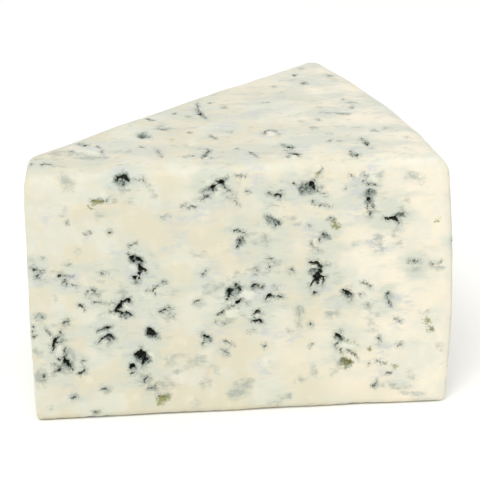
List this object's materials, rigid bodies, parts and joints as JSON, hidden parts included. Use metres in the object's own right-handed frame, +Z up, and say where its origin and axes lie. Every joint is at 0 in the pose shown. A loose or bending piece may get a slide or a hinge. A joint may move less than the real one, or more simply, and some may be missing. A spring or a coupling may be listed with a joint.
{
  "type": "blue cheese wedge",
  "caption": "Solid wedge of rindless blue cheese with a blunt tip, rounded upper edges, a curved heel and open mould pockets, lying on its flat underside.",
  "frame": {"origin": "middle of the wedge's footprint, on the surface that it rests on", "axes": "+X from the blunt tip to the heel, +Z up; the cut faces lie to either side of the XZ plane"},
  "size_m": [0.0904, 0.068, 0.06],
  "materials": {
    "cheese_paste": "moist ivory cheese paste with blue-green mould veins"
  },
  "bodies": {
    "root": {"cheese_wedge": "cheese_paste"}
  },
  "joints": []
}
